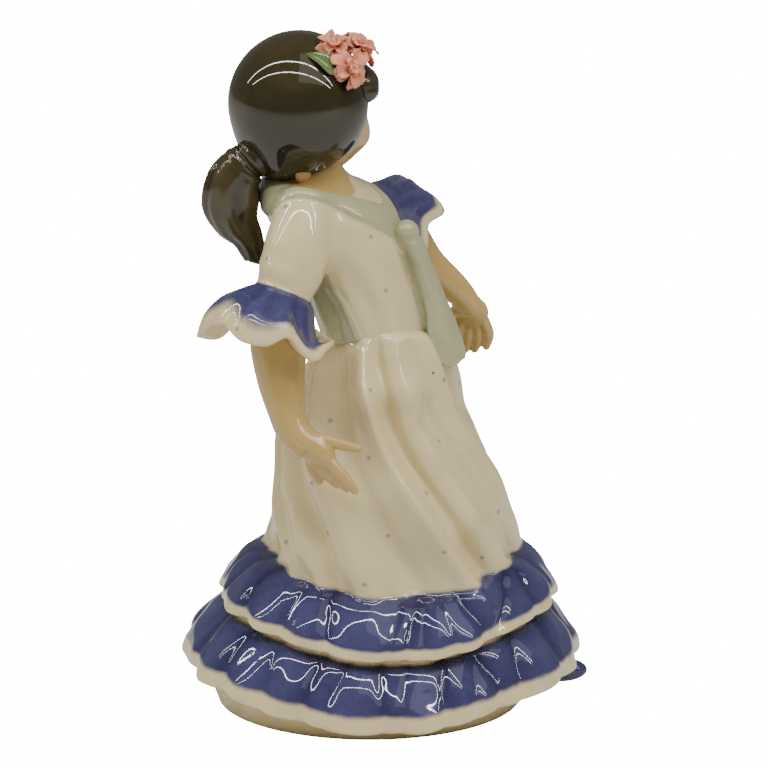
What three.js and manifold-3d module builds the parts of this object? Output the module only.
// A glazed porcelain figurine of a child dancing flamenco, 205 mm tall: a flounced skirt, a bodice with
// frilled three-quarter sleeves, a shawl knotted on the chest, a smooth head of hair with a ponytail, and
// a spray of three carnations and a leaf over the right temple.
// Millimetres, +Z up. Seen from -Y, the dancer's right side, +X is to the right, nearly the way that the
// chest faces, and +Y is away, to the dancer's left. The origin is under the middle of the plan.
import * as THREE from "three";
import { mergeVertices } from "three/addons/utils/BufferGeometryUtils.js";
import Module from "manifold-3d";

const wasm = await Module();
wasm.setup();

const CHEST_FACES = -35; // degrees from +X
const PLAN_MIDDLE = [1.26, -0.06]; // the plan's middle, where the part's origin stands

// The skirt: one lathe-like shell from the waist down over both flounces to the flat underside.
const DEPTH_SHARE = 0.95; // the skirt is a little shallower than it is wide
const SKIRT_SIDES = 56;
// Rows: radius, height, centre along X, and shares of the hip tilt, of the folds, of the upper and the
// lower flounce's gathers, and of the sway.
const SKIRT_ROWS = [
  [6.0, 112.5, 1.2, 1.0, 0.0, 0.0, 0.0, 0.0],
  [14.4, 110.2, 1.6, 1.0, 0.1, 0.0, 0.0, 0.0],
  [18.4, 106.5, 0.4, 0.9, 0.4, 0.0, 0.0, 0.0],
  [22.0, 98.5, -0.2, 0.5, 0.8, 0.0, 0.0, 0.0],
  [24.4, 89.5, -1.0, 0.2, 1.0, 0.0, 0.0, 0.0],
  [29.2, 79.5, -0.4, 0.0, 1.0, 0.0, 0.0, 0.0],
  [33.2, 67.0, 1.4, 0.0, 1.0, 0.0, 0.0, 0.1],
  [35.2, 54.5, 2.6, 0.0, 1.0, 0.1, 0.0, 0.3],
  [37.2, 43.6, 3.8, 0.0, 0.8, 0.1, 0.0, 0.6],
  [42.4, 41.6, 3.0, 0.0, 0.4, 0.4, 0.0, 0.9],
  [46.8, 37.8, 2.4, 0.0, 0.1, 0.8, 0.0, 1.0],
  [49.4, 32.4, 2.0, 0.0, 0.0, 1.0, 0.0, 1.0],
  [49.8, 29.4, 1.9, 0.0, 0.0, 1.0, 0.0, 1.0],
  [48.2, 28.2, 1.8, 0.0, 0.0, 0.9, 0.0, 1.0],
  [44.4, 27.4, 1.4, 0.0, 0.0, 0.2, 0.2, 1.0],
  [49.6, 25.4, 1.0, 0.0, 0.0, 0.1, 0.5, 1.0],
  [54.4, 20.4, 0.4, 0.0, 0.0, 0.0, 0.9, 1.0],
  [57.8, 13.4, 0.1, 0.0, 0.0, 0.0, 1.0, 1.0],
  [58.2, 10.2, 0.0, 0.0, 0.0, 0.0, 1.0, 1.0],
  [56.4, 8.8, -0.2, 0.0, 0.0, 0.0, 0.9, 1.0],
  [50.0, 6.8, -2.0, 0.0, 0.0, 0.0, 0.3, 0.5],
  [45.4, 0.0, -3.4, 0.0, 0.0, 0.0, 0.0, 0.0],
];
const HIP_TILT = { rise: 5, faces: -90 }; // the right hip is pushed up
const SWAY = { rise: 4, dip: 7.2, at: -89, half: 48 }; // the flounces dip on the right and rise elsewhere
const FOLD_TWIST = 0.83; // degrees that a fold turns for each millimetre that it climbs
const FOLD_FOOT = 44; // the height at which the folds' angles are given
// Folds of the skirt: angle at the foot, height (hollow when negative), half-width in degrees.
const SKIRT_FOLDS = [
  [-28, 1.9, 8],
  [-43, -2.4, 6],
  [-56, 3.2, 9],
  [-76, -2.8, 9],
  [-100, 1.9, 9],
  [-124, 2.0, 6],
  [-140, 2.0, 6],
  [-168, -2.0, 8],
  [166, 2.4, 10],
  [138, -2.0, 8],
  [112, 2.4, 9],
  [88, -1.8, 8],
  [60, 2.6, 10],
  [34, -2.0, 8],
  [12, 1.6, 8],
  [-10, -1.8, 7],
];
// Creases between the gathers of each flounce, in degrees round the skirt.
const UPPER_CREASES = [
  -162, -146, -134, -122, -110, -87, -80, -50, -42, -27, -10, 12, 32, 54, 74, 96, 116, 138, 160, 180,
];
const LOWER_CREASES = [
  -159, -143, -114, -101, -85, -69, -57, -45, -32, -14, 4, 24, 44, 66, 88, 110, 130, 148, 168, 184,
];
const PLEAT = { out: 3.2, droop: 1.1 };

// The bodice, from inside the skirt to the neck, in sections across the leaning body.
// Rows: height, centre x, centre y, half-depth from front to back, half-width from side to side.
const BODICE_SIDES = 28;
const BODICE_ROWS = [
  [99, 2.2, 0.0, 11.0, 13.0],
  [108, 1.9, 0.0, 14.0, 17.2],
  [124, -2.2, 0.0, 15.0, 17.6],
  [132, -5.8, 0.0, 16.2, 18.6],
  [140, -9.6, 0.0, 17.4, 19.4],
  [147, -13.4, 0.0, 17.6, 19.8],
  [152, -16.0, 0.4, 16.6, 18.4],
  [156, -18.9, 0.8, 14.6, 14.4],
  [158.6, -20.2, 1.2, 12.2, 11.4],
  [161, -19.4, 1.6, 8.8, 8.4],
  [164, -18.6, 2.0, 6.4, 6.6],
  [171, -18.6, 2.8, 6.0, 6.2],
];
// The shawl wraps the bodice: its top and lower edges, in millimetres up, by the angle from the front. Its
// back hangs free of the waist.
const SHAWL_SIDES = 32;
const SHAWL_THICKNESS = 1.5;
const SHAWL_TOP = [[0, 146.5], [30, 152.5], [60, 156.5], [90, 158.5], [130, 161.5], [180, 162]];
const SHAWL_FOOT = [
  [0, 141],
  [30, 145],
  [60, 150],
  [76, 150],
  [80, 134],
  [84, 119],
  [90, 112],
  [180, 109],
];
const SHAWL_HANG = { out: 2.0, from: 146, to: 120, starts: 84, full: 112 };
const SHAWL_FOLD = { deep: 0.7, count: 11 };

// Sleeves: rows of a sleeve's section, as the share of its length, of the arm's radius, of the frill's
// reach past the arm, and of the frill's waves.
const SLEEVE_SIDES = 19;
const SLEEVE_ROWS = [
  [-0.26, 0.1, 0.0, 0.0],
  [-0.23, 0.5, 0.0, 0.0],
  [-0.12, 0.86, 0.0, 0.0],
  [0.05, 1.0, 0.0, 0.0],
  [0.25, 1.06, 0.0, 0.0],
  [0.45, 1.02, 0.0, 0.0],
  [0.6, 0.9, 0.0, 0.0],
  [0.65, 0.96, 0.12, 0.1],
  [0.76, 0.96, 0.38, 0.4],
  [0.9, 0.96, 0.86, 0.9],
  [0.98, 0.96, 1.0, 1.0],
  [0.99, 0.92, 0.92, 1.0],
  [0.88, 0.9, 0.5, 0.6],
  [0.78, 0.6, 0.0, 0.1],
];
const FRILL_STARTS = 0.6; // the share of the length at the row where the frill is gathered on
// Each sleeve: the arm's centre line from the shoulder to the hem, its radius, the frill's reach past it,
// where that frill starts, and the hem's lobes: direction round the arm, drop, reach out, half-width.
const RIGHT_SLEEVE = {
  line: [
    [-22.4, -15.6, 149.6],
    [-24.8, -20.4, 139.6],
    [-28.6, -24.8, 128.6],
    [-32.2, -27.0, 121.4],
    [-33.0, -27.4, 116.8],
  ],
  arm: 9.2,
  frill: 10.4,
  starts: 0.6,
  lobes: [
    [182, 3.0, 1.8, 20],
    [141, -4.5, -1.0, 22],
    [90, 1.0, 2.0, 19],
    [49, 2.6, 1.8, 17],
    [14, -2.0, 0.6, 16],
    [-22, 1.5, 1.6, 20],
    [-62, -3.0, -1.0, 18],
    [-100, 2.4, 1.4, 20],
    [-140, -1.5, -0.6, 18],
  ],
};
const LEFT_SLEEVE = {
  line: [[-2.0, 11.0, 146.2], [0.6, 17.4, 145.6], [3.6, 23.6, 143.2], [6.6, 28.2, 138.6]],
  arm: 7.4,
  frill: 5.0,
  starts: 0.1,
  lobes: [
    [-10, 3.0, 1.2, 20],
    [-46, -2.0, -1.0, 18],
    [-80, 3.0, 1.4, 20],
    [-116, -2.0, -1.0, 18],
    [-150, 3.0, 1.4, 20],
    [172, -2.0, -1.0, 18],
    [140, 3.0, 1.4, 20],
    [102, -2.0, -0.8, 18],
    [65, 3.0, 1.4, 20],
    [28, -2.0, -0.8, 18],
  ],
};

// Forearms and hands. Rows of an arm: x, y, z, radius.
const ARM_SIDES = 10;
const RIGHT_ARM = [
  [-28.4, -25.0, 124.0, 7.0],
  [-29.6, -27.2, 116.6, 8.3],
  [-28.9, -30.6, 106.2, 7.1],
  [-27.2, -34.0, 97.6, 5.7],
  [-25.2, -36.6, 92.0, 5.0],
  [-20.4, -38.4, 87.6, 4.6],
];
const LEFT_ARM = [
  [1.0, 18.0, 145.4, 5.0],
  [4.0, 27.0, 141.6, 5.8],
  [8.4, 31.6, 135.0, 6.2],
  [15.0, 33.4, 124.4, 5.9],
  [22.4, 34.0, 115.0, 5.2],
  [26.0, 35.4, 109.2, 4.6],
  [27.8, 37.6, 104.4, 4.0],
];
// A palm: centre, the ways that it runs and spreads, and its half length, half width, half thickness.
const RIGHT_PALM = {
  at: [-18.6, -38.4, 86.6],
  runs: [0.7, -0.2, -0.68],
  spreads: [0.38, -0.72, 0.52],
  size: [7.2, 5.0, 3.9],
};
const LEFT_PALM = {
  at: [27.6, 38.4, 103.8],
  runs: [0.12, 0.35, -0.93],
  spreads: [0.86, -0.5, -0.1],
  size: [6.4, 4.6, 3.2],
};
const FINGER_RADIUS = { base: 2.3, tip: 1.35 };
const RIGHT_FINGERS = [
  [[-20.6, -38.6, 91.0], [-13.0, -39.8, 89.2], [-6.6, -41.0, 87.8]],
  [[-16.4, -40.4, 85.6], [-11.4, -42.0, 80.4], [-7.6, -43.0, 75.9]],
  [[-17.4, -38.4, 84.2], [-13.6, -39.6, 79.4], [-9.9, -40.4, 75.8]],
  [[-18.6, -36.6, 83.2], [-15.6, -37.2, 79.2], [-12.8, -37.7, 76.2]],
  [[-20.6, -35.4, 83.2], [-19.4, -35.8, 79.8], [-17.9, -36.2, 76.9]],
];
const LEFT_FINGERS = [
  [[25.4, 36.4, 106.4], [21.8, 37.4, 103.2], [20.8, 39.0, 100.0]],
  [[30.2, 38.2, 102.0], [31.2, 40.4, 99.2], [31.2, 42.4, 96.9]],
  [[28.8, 39.4, 101.4], [28.8, 41.8, 98.4], [27.8, 44.4, 95.3]],
  [[27.0, 40.4, 101.0], [26.6, 42.8, 98.2], [25.5, 45.6, 95.0]],
  [[25.2, 41.2, 101.4], [24.2, 43.6, 98.8], [23.2, 46.2, 95.6]],
];

// The head: its frame is at the middle of the ball of hair, turned, nodded and tipped.
const HEAD = { at: [-24.0, 0.5, 181.0], turn: 36, nod: -4, tip: 12 };
const HAIR_RADIUS = 20.6;
// Relief of the hair: turn, height in degrees from the head's middle, rise, half-width, half-height.
const HAIR_RELIEF = [
  [180, -62, 4.0, 70, 24],
  [0, 90, 0.6, 180, 40],
];
const FACE = { at: [6.8, 0, -6.2], size: [15.0, 15.4, 17.0] };
// Where the hair stops round the face: middle and reach in degrees from the head's own middle, the width
// of its edge, and how far it sinks under the face.
const FACE_OPENING = { turn: 0, nod: -18, across: 46, up: 42, edge: 7, deep: 7 };
// Relief of the face: turn, height in degrees from the face's middle, rise, half-width, half-height.
const FACE_RELIEF = [
  [0, 10, 0.8, 6, 14],
  [0, -6, 2.2, 6, 7],
  [24, 5, -1.4, 10, 8],
  [-24, 5, -1.4, 10, 8],
  [0, -21, 0.8, 9, 3.6],
  [0, -28, 0.8, 7, 3.6],
  [0, -47, 2.4, 16, 11],
  [38, -18, 1.6, 16, 15],
  [-38, -18, 1.6, 16, 15],
];
const QUIFF = { at: [14.6, -6.4, 6.0], size: [6.6, 9.6, 6.4] };
const EAR = { at: [-5.6, 12.4, -17.0], size: [3.0, 1.7, 3.4] };

// The ponytail leaves the back of the head through a tie and swings down.
// Rows: x, y, z, half-width, half-depth.
const PONYTAIL_SIDES = 14;
const PONYTAIL_ROWS = [
  [-31.0, -4.0, 170.0, 5.0, 5.0],
  [-36.6, -5.4, 166.2, 6.4, 5.6],
  [-38.3, -5.6, 165.0, 5.6, 5.0],
  [-40.2, -5.8, 163.2, 6.7, 5.6],
  [-42.8, -6.0, 158.6, 7.8, 6.0],
  [-43.4, -5.8, 152.6, 8.3, 6.0],
  [-42.0, -5.4, 147.0, 6.8, 5.2],
  [-39.4, -5.0, 142.4, 4.2, 4.0],
  [-38.0, -5.0, 138.0, 2.6, 2.6],
  [-37.4, -5.0, 134.8, 1.6, 1.6],
];

// The knot of the shawl and its two ends. Rows of an end: x, y, z, half-width, half-thickness.
const KNOT = { at: [8.2, -9.8, 143.6], size: [3.6, 4.0, 4.4] };
const SHAWL_ENDS = [
  [
    [9.6, -11.4, 142.0, 1.8, 1.5],
    [12.6, -11.4, 136.0, 2.2, 1.5],
    [14.8, -10.8, 129.6, 3.0, 1.5],
    [16.8, -9.6, 123.0, 3.4, 1.5],
    [18.4, -8.8, 116.6, 4.8, 1.5],
    [20.2, -8.4, 110.4, 5.4, 1.4],
    [22.6, -8.2, 105.4, 4.0, 1.1],
  ],
  [
    [9.4, -9.0, 142.0, 1.8, 1.5],
    [13.4, -8.2, 134.0, 2.2, 1.5],
    [16.4, -7.2, 126.0, 2.6, 1.6],
    [19.0, -6.8, 118.0, 2.6, 1.8],
    [21.6, -6.6, 111.6, 2.4, 1.9],
    [23.4, -7.0, 107.2, 1.8, 1.5],
  ],
];
const SHOE = { at: [54.0, 4.0, 6.2], size: [8.0, 4.2, 3.6] };

// Carnations: centre, the way each faces, and its radius. The leaf: base, tip and half-width.
const CARNATIONS = [
  { name: "carnation_crown", at: [-12.8, -7.8, 198.5], faces: [-0.1, -0.55, 0.83], radius: 5.5 },
  { name: "carnation_temple", at: [-9.0, -12.2, 193.0], faces: [0.35, -0.86, 0.3], radius: 5.6 },
  { name: "carnation_brow", at: [-6.6, -2.6, 197.3], faces: [0.72, -0.1, 0.68], radius: 4.9 },
];
const LEAF = {
  name: "leaf",
  base: [-12.6, -13.0, 194.0],
  tip: [-21.7, -12.6, 197.9],
  half_width: 3.6,
  thickness: 1.2,
};

const rad = THREE.MathUtils.degToRad;
const V = (p) => new THREE.Vector3(...p);
const UP = V([0, 0, 1]);

// A smooth value through rows of numbers, at a place counted in rows, with no overshoot between them.
function through(rows, place) {
  const last = rows.length - 1;
  const i = Math.min(Math.floor(place), last - 1);
  const t = place - i;
  const slope = (k, c) => {
    if (k <= 0 || k >= last) return 0;
    const before = rows[k][c] - rows[k - 1][c];
    const after = rows[k + 1][c] - rows[k][c];
    return before * after <= 0 ? 0 : (2 * before * after) / (before + after);
  };
  return rows[i].map((a, c) => {
    const b = rows[i + 1][c];
    const start = i === 0 ? b - a : slope(i, c);
    const end = i + 1 === last ? b - a : slope(i + 1, c);
    const t2 = t * t;
    const t3 = t2 * t;
    return (2 * t3 - 3 * t2 + 1) * a + (t3 - 2 * t2 + t) * start + (3 * t2 - 2 * t3) * b + (t3 - t2) * end;
  });
}

// A value from [angle, value] pairs, eased between neighbours.
function byAngle(pairs, angle) {
  const i = Math.max(0, pairs.findIndex((p, k) => k + 1 === pairs.length - 1 || pairs[k + 1][0] >= angle));
  const [a, b] = [pairs[i], pairs[i + 1]];
  const t = THREE.MathUtils.clamp((angle - a[0]) / (b[0] - a[0]), 0, 1);
  return a[1] + (b[1] - a[1]) * t;
}

// The difference between two angles, from -180 to 180 degrees.
const apart = (a, b) => ((((a - b + 180) % 360) + 360) % 360) - 180;
const bell = (x, half) => Math.exp(-((x / half) ** 2));
const relief = (forms, height) => forms.reduce((sum, form) => sum + height(form), 0);

// A closed solid from rings of points: each ring joins the next, and a middle point closes each end.
function solidFromRings(rings) {
  const sides = rings[0].length;
  const points = rings.flat();
  const tris = [];
  rings.slice(1).forEach((_, r) => {
    for (let s = 0; s < sides; s++) {
      const [a, b] = [r * sides + s, r * sides + ((s + 1) % sides)];
      tris.push([a, b, b + sides], [a, b + sides, a + sides]);
    }
  });
  [[rings[0], 0, 1], [rings.at(-1), (rings.length - 1) * sides, -1]].forEach(([ring, first, turn]) => {
    const sum = ring.reduce((total, p) => total.add(p), new THREE.Vector3());
    const middle = points.push(sum.divideScalar(sides)) - 1;
    for (let s = 0; s < sides; s++) {
      const [a, b] = [first + s, first + ((s + 1) % sides)];
      tris.push(turn > 0 ? [middle, b, a] : [middle, a, b]);
    }
  });
  const volume = tris.reduce((v, [a, b, c]) => v + points[a].dot(points[b].clone().cross(points[c])), 0);
  const facing = volume < 0 ? tris.map(([a, b, c]) => [a, c, b]) : tris;
  const geometry = new THREE.BufferGeometry().setFromPoints(points).setIndex(facing.flat());
  return toManifold(geometry);
}

function toManifold(geometry) {
  const bare = new THREE.BufferGeometry().setAttribute("position", geometry.getAttribute("position"));
  bare.setIndex(geometry.index);
  const merged = mergeVertices(bare, 1e-4);
  return new wasm.Manifold(
    new wasm.Mesh({
      numProp: 3,
      vertProperties: new Float32Array(merged.attributes.position.array),
      triVerts: new Uint32Array(merged.index.array),
    }),
  );
}

function toGeometry(manifold) {
  const mesh = manifold.getMesh();
  const geometry = new THREE.BufferGeometry();
  geometry.setAttribute("position", new THREE.BufferAttribute(new Float32Array(mesh.vertProperties), 3));
  geometry.setIndex(new THREE.BufferAttribute(new Uint32Array(mesh.triVerts), 1));
  geometry.computeVertexNormals();
  return geometry;
}

const joined = (solids) => solids.reduce((all, s) => all.add(s));

// Where an angle falls among a flounce's creases: 0 in a crease, 1 on the crown of the gather.
function gather(creases, angle) {
  const a = apart(angle, 0);
  const n = creases.length;
  let i = n - 1;
  for (let k = 0; k < n; k++) if (a >= creases[k]) i = k;
  const from = a < creases[0] ? creases[n - 1] - 360 : creases[i];
  const to = a < creases[0] ? creases[0] : i === n - 1 ? creases[0] + 360 : creases[i + 1];
  const t = (a - from) / (to - from);
  const width = Math.min(1, (to - from) / 16);
  return Math.pow(Math.max(0, Math.sin(Math.PI * t)), 0.8) * (0.55 + 0.45 * width);
}

function skirt() {
  const rings = SKIRT_ROWS.map(([radius, height, middle, tilt, folds, upper, lower, sway]) => {
    return Array.from({ length: SKIRT_SIDES }, (_, s) => {
      const angle = (360 * s) / SKIRT_SIDES - 180;
      const folded = angle + (height - FOLD_FOOT) * FOLD_TWIST;
      const fold = relief(SKIRT_FOLDS, ([at, rise, half]) => rise * bell(apart(folded, at), half));
      const crown = upper * gather(UPPER_CREASES, angle) + lower * gather(LOWER_CREASES, angle);
      const r = radius + folds * fold + PLEAT.out * (crown - 0.5 * (upper + lower));
      const lift = sway * (SWAY.rise - SWAY.dip * bell(apart(angle, SWAY.at), SWAY.half));
      const hip = tilt * HIP_TILT.rise * Math.cos(rad(angle - HIP_TILT.faces));
      return new THREE.Vector3(
        middle + r * Math.cos(rad(angle)),
        DEPTH_SHARE * r * Math.sin(rad(angle)),
        height === 0 ? 0 : height + hip + lift - PLEAT.droop * crown,
      );
    });
  });
  return solidFromRings(rings);
}

// The point of the bodice at an angle from the front and a height, pushed out by a distance.
function onBodice(angle, height, out) {
  const above = BODICE_ROWS.findIndex(([row]) => row > height);
  const i = (above < 1 ? BODICE_ROWS.length - 1 : above) - 1;
  const place = i + (height - BODICE_ROWS[i][0]) / (BODICE_ROWS[i + 1][0] - BODICE_ROWS[i][0]);
  const [, x, y, depth, width] = through(BODICE_ROWS, place);
  const turned = rad(angle);
  return new THREE.Vector3((depth + out) * Math.cos(turned), (width + out) * Math.sin(turned), 0)
    .applyAxisAngle(UP, rad(CHEST_FACES))
    .add(V([x, y, height]));
}

function bodice() {
  const rings = BODICE_ROWS.map(([height]) =>
    Array.from({ length: BODICE_SIDES }, (_, s) => onBodice((360 * s) / BODICE_SIDES, height, 0)),
  );
  return solidFromRings(rings);
}

// The shawl: at each angle round the body a flat section from its lower edge to its top edge.
function shawl() {
  const shares = [0, 0.04, 0.35, 0.65, 0.96, 1];
  const { out, from, to, starts, full } = SHAWL_HANG;
  const rings = Array.from({ length: SHAWL_SIDES + 1 }, (_, k) => {
    const angle = -176 + (352 * k) / SHAWL_SIDES + 180;
    const side = Math.abs(apart(angle, 0));
    const foot = byAngle(SHAWL_FOOT, side);
    const top = byAngle(SHAWL_TOP, side);
    const hang = THREE.MathUtils.smoothstep(side, starts, full);
    const fold = SHAWL_FOLD.deep * hang * Math.cos(rad(SHAWL_FOLD.count * angle));
    const outer = shares.map((share, n) => {
      const height = foot + (top - foot) * share;
      const fall = 1 - THREE.MathUtils.smoothstep(height, to, from);
      const edge = n === 0 || n === shares.length - 1 ? 0.5 : 1;
      const thick = SHAWL_THICKNESS + fold * (0.3 + 0.7 * fall);
      return onBodice(angle, height, thick * edge + out * hang * fall);
    });
    return [...outer, onBodice(angle, top, -2.5), onBodice(angle, foot, -2.5)];
  });
  return solidFromRings(rings);
}

// Two directions square to a line, the first as near as can be to +X.
function across(direction) {
  const first = new THREE.Vector3(1, 0, 0).addScaledVector(direction, -direction.x).normalize();
  return [first, direction.clone().cross(first)];
}

// Where a row lies along a sleeve, whose frill may start nearer the shoulder than the rows say.
function rowAlong(share, starts) {
  if (share <= 0) return share;
  if (share < FRILL_STARTS) return (share * starts) / FRILL_STARTS;
  return starts + ((share - FRILL_STARTS) * (1 - starts)) / (1 - FRILL_STARTS);
}

function sleeve({ line, arm, frill, starts, lobes }) {
  const curve = new THREE.CatmullRomCurve3(line.map(V));
  const length = curve.getLength();
  const rings = SLEEVE_ROWS.map(([rowShare, armShare, frillShare, waveShare]) => {
    const share = rowAlong(rowShare, starts);
    const inside = THREE.MathUtils.clamp(share, 0, 1);
    const direction = curve.getTangentAt(inside);
    const on = curve.getPointAt(inside).addScaledVector(direction, (share - inside) * length);
    const [u, v] = across(direction);
    return Array.from({ length: SLEEVE_SIDES }, (_, s) => {
      const angle = (360 * s) / SLEEVE_SIDES;
      const drop = waveShare * relief(lobes, ([at, down, , half]) => down * bell(apart(angle, at), half));
      const out = waveShare * relief(lobes, ([at, , reach, half]) => reach * bell(apart(angle, at), half));
      const r = arm * armShare + frill * frillShare + out;
      return on
        .clone()
        .addScaledVector(u, r * Math.cos(rad(angle)))
        .addScaledVector(v, r * Math.sin(rad(angle)))
        .addScaledVector(direction, drop);
    });
  });
  return solidFromRings(rings);
}

function ellipse(middle, u, v, width, depth, sides) {
  return Array.from({ length: sides }, (_, s) => {
    const angle = (2 * Math.PI * s) / sides;
    const out = u.clone().multiplyScalar(width * Math.cos(angle));
    return out.addScaledVector(v, depth * Math.sin(angle)).add(middle);
  });
}

// A tapering limb through rows of x, y, z, radius, with rings square to its line.
function limb(rows, sides, steps) {
  const curve = new THREE.CatmullRomCurve3(rows.map(V));
  const rings = Array.from({ length: steps + 1 }, (_, k) => {
    const t = k / steps;
    const radius = through(rows, t * (rows.length - 1))[3];
    const [u, v] = across(curve.getTangent(t));
    const on = curve.getPoint(t);
    return ellipse(on, u, v, radius, radius, sides);
  });
  return solidFromRings(rings);
}

function ball(radius, wide, high) {
  return new THREE.SphereGeometry(radius, wide, high);
}

function blob({ at, size }, wide = 10, high = 7) {
  return toManifold(ball(1, wide, high).scale(...size).translate(...at));
}

function palm({ at, runs, spreads, size }) {
  const run = V(runs).normalize();
  const side = V(spreads).addScaledVector(run, -V(spreads).dot(run)).normalize();
  const turned = new THREE.Matrix4().makeBasis(run, side, run.clone().cross(side)).setPosition(...at);
  return toManifold(ball(1, 10, 6).scale(...size).applyMatrix4(turned));
}

function hand(palmShape, fingers) {
  const { base, tip } = FINGER_RADIUS;
  const tubes = fingers.map(([a, b, c]) => {
    const end = V(c).addScaledVector(V(c).sub(V(b)).normalize(), 0.8).toArray();
    return limb([[...a, base], [...b, (base + tip) / 2 + 0.2], [...c, tip], [...end, 0.5]], 6, 3);
  });
  return joined([palm(palmShape), ...tubes]);
}

function headFrame() {
  const turn = new THREE.Matrix4().makeRotationZ(rad(HEAD.turn));
  const nod = new THREE.Matrix4().makeRotationY(rad(HEAD.nod));
  const tip = new THREE.Matrix4().makeRotationX(rad(HEAD.tip));
  return turn.multiply(nod).multiply(tip).setPosition(...HEAD.at);
}

// A ball whose radius depends on the direction, in degrees round from the front and up. Its meridians
// can be drawn together towards the front.
function shapedBall(wide, high, reach, drawn = 0) {
  const geometry = ball(1, wide, high);
  const at = geometry.getAttribute("position");
  for (let i = 0; i < at.count; i++) {
    const [x, y, z] = [at.getX(i), -at.getZ(i), at.getY(i)];
    const up = THREE.MathUtils.radToDeg(Math.asin(THREE.MathUtils.clamp(z, -1, 1)));
    const even = Math.abs(up) > 89.9 ? 0 : Math.atan2(y, x);
    const turn = even - drawn * Math.sin(even);
    const level = Math.hypot(x, y);
    const direction = new THREE.Vector3(level * Math.cos(turn), level * Math.sin(turn), z);
    const p = reach(direction, THREE.MathUtils.radToDeg(turn), up);
    at.setXYZ(i, p.x, p.y, p.z);
  }
  return geometry;
}

// The height, at a turn and a height in degrees, of a mound: its place, its rise and its half-widths.
function moundAt([at, height, rise, half, tall], turn, up) {
  return rise * bell(apart(turn, at), half) * bell(up - height, tall);
}

function face() {
  const size = V(FACE.size);
  return shapedBall(22, 18, (direction, turn, up) => {
    const rise = relief(FACE_RELIEF, (form) => moundAt(form, turn, up));
    return direction.clone().multiply(size).addScaledVector(direction, rise).add(V(FACE.at));
  }, 0.5);
}

function hair(grown) {
  const { turn, nod, across: wide, up: high, edge, deep } = FACE_OPENING;
  const soft = edge / Math.min(wide, high);
  return shapedBall(22, 12, (direction, t, u) => {
    const away = Math.hypot(apart(t, turn) / wide, (u - nod) / high);
    const open = 1 - THREE.MathUtils.smoothstep(away, 1 - soft, 1 + soft);
    const rise = relief(HAIR_RELIEF, (form) => moundAt(form, t, u));
    return direction.clone().multiplyScalar(HAIR_RADIUS + grown + rise - deep * open);
  });
}

// The cap of hair and the lock over the brow, grown by a distance.
function hairSolids(grown = 0) {
  const lock = ball(1, 12, 8).scale(...QUIFF.size.map((size) => size + grown)).translate(...QUIFF.at);
  return [hair(grown), lock].map((shape) => toManifold(shape.applyMatrix4(headFrame())));
}

function head() {
  const frame = headFrame();
  const [x, y, z] = EAR.at;
  const ears = [-1, 1].map((side) => ball(1, 8, 6).scale(...EAR.size).translate(x, side * y, z));
  const skin = [face(), ...ears].map((shape) => toManifold(shape.applyMatrix4(frame)));
  return joined([...hairSolids(), ...skin]);
}

// A flattened strand through rows of x, y, z, half-width, half-thickness, broad along a given way.
function strand(rows, sides, steps, broad) {
  const curve = new THREE.CatmullRomCurve3(rows.map(V));
  const rings = Array.from({ length: steps + 1 }, (_, k) => {
    const t = k / steps;
    const [, , , width, depth] = through(rows, t * (rows.length - 1));
    const direction = curve.getTangent(t);
    const u = V(broad).addScaledVector(direction, -V(broad).dot(direction)).normalize();
    const v = direction.clone().cross(u);
    const on = curve.getPoint(t);
    return ellipse(on, u, v, width, depth, sides);
  });
  return solidFromRings(rings);
}

// Everything on the hair stands a little off it.
const CLEAR = 0.35;

// A carnation: two frilled dishes, one inside the other, facing the same way. Rows: radius and height, in
// shares of the flower's radius.
const DISH_ROWS = [[0.2, -0.6], [0.88, 0.0], [1.0, 0.3], [0.86, 0.4], [0.16, 0.1]];
function carnation({ at, faces, radius: size }) {
  const sides = 10;
  const dish = (reach, lift, turn) => {
    const rings = DISH_ROWS.map(([r, h]) =>
      Array.from({ length: sides }, (_, s) => {
        const angle = (360 * s) / sides;
        const frill = r * r * 0.13 * Math.cos(rad(5 * angle + turn));
        const out = size * reach * (r + frill);
        return new THREE.Vector3(
          out * Math.cos(rad(angle)),
          out * Math.sin(rad(angle)),
          size * (h * reach + lift + 1.6 * frill * reach),
        );
      }),
    );
    return solidFromRings(rings);
  };
  const whole = joined([dish(1.0, 0, 0), dish(0.6, 0.34, 100)]);
  const turned = new THREE.Quaternion().setFromUnitVectors(UP, V(faces).normalize());
  return toManifold(toGeometry(whole).applyQuaternion(turned).translate(...at));
}

function leaf({ base, tip, half_width: half, thickness }) {
  const along = V(tip).sub(V(base));
  const outward = V(base).lerp(V(tip), 0.5).sub(V(HEAD.at)).normalize();
  const rows = [0, 0.15, 0.35, 0.55, 0.8, 1].map((t) => {
    const middle = V(base).addScaledVector(along, t).addScaledVector(outward, Math.sin(Math.PI * t));
    const width = Math.max(0.3, half * Math.sin(Math.PI * Math.sqrt(0.06 + 0.94 * t)));
    return [...middle.toArray(), width, thickness / 2];
  });
  return strand(rows, 8, 6, outward.cross(along).toArray());
}

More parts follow.
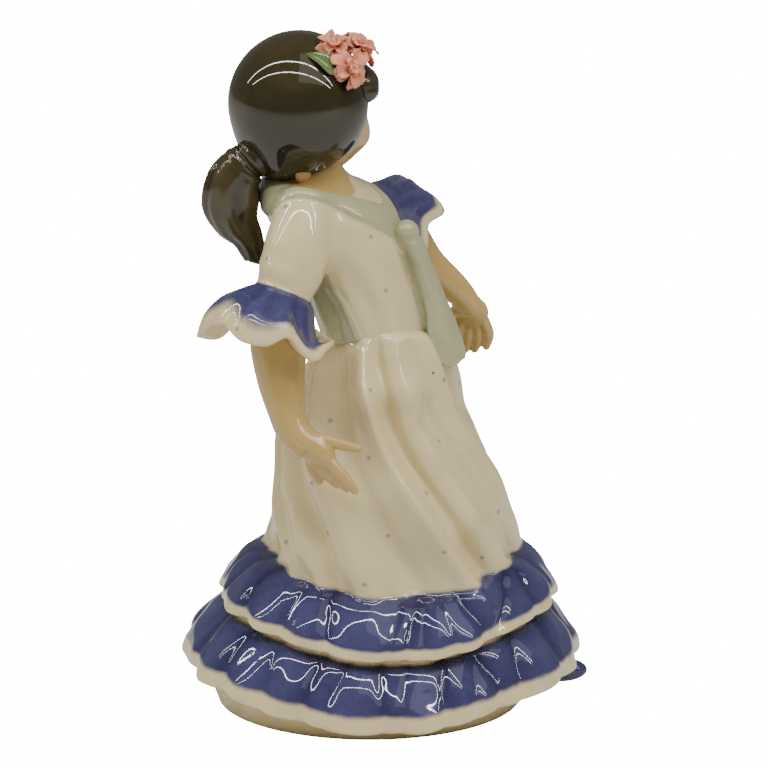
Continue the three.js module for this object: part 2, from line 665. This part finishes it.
// The room that a flower takes up, for its neighbours to keep out of.
const ROOM_ROWS = [[0.3, -0.8], [1.1, -0.2], [1.26, 0.2], [1.26, 0.7], [1.0, 1.0]];

function room({ at, faces, radius }) {
  const [u, v] = across(V(faces).normalize());
  const rings = ROOM_ROWS.map(([r, h]) => {
    const middle = V(at).addScaledVector(V(faces).normalize(), h * radius);
    return ellipse(middle, u, v, r * radius, r * radius, 12);
  });
  return solidFromRings(rings);
}

// The spray: each piece is cut clear of the hair and of the pieces set before it.
function spray() {
  let taken = joined(hairSolids(CLEAR));
  const flowers = CARNATIONS.map((flower) => {
    const solid = largest(carnation(flower).subtract(taken));
    taken = taken.add(room(flower));
    return [flower.name, solid, petal];
  });
  return [...flowers, [LEAF.name, largest(leaf(LEAF).subtract(taken)), green]];
}

function largest(solid) {
  return solid.decompose().reduce((a, b) => (b.volume() > a.volume() ? b : a));
}

function material(name, color, roughness) {
  return new THREE.MeshStandardMaterial({ name, color, roughness, metalness: 0 });
}
const porcelain = material("glazed_porcelain", 0xe9e4da, 0.12);
const petal = material("pink_bisque", 0xe0a08a, 0.6);
const green = material("green_glaze", 0x7f9460, 0.25);

const dancer = joined([
  skirt(),
  bodice(),
  shawl(),
  sleeve(RIGHT_SLEEVE),
  sleeve(LEFT_SLEEVE),
  limb(RIGHT_ARM, ARM_SIDES, 7),
  limb(LEFT_ARM, ARM_SIDES, 7),
  hand(RIGHT_PALM, RIGHT_FINGERS),
  hand(LEFT_PALM, LEFT_FINGERS),
  head(),
  strand(PONYTAIL_ROWS, PONYTAIL_SIDES, 12, [1, 0, 0.2]),
  blob(KNOT),
  ...SHAWL_ENDS.map((rows) => strand(rows, 8, 5, [0.5, 0.8, 0.1])),
  blob(SHOE),
]);

const figure = new THREE.Group();
function place(name, geometry, finish) {
  const mesh = new THREE.Mesh(geometry, finish);
  mesh.name = name;
  figure.add(mesh);
}
place("dancer", toGeometry(dancer), porcelain);
spray().forEach(([name, solid, finish]) => place(name, toGeometry(solid), finish));

figure.position.set(-PLAN_MIDDLE[0], -PLAN_MIDDLE[1], 0);

const part = new THREE.Group();
part.add(figure);
export default part;
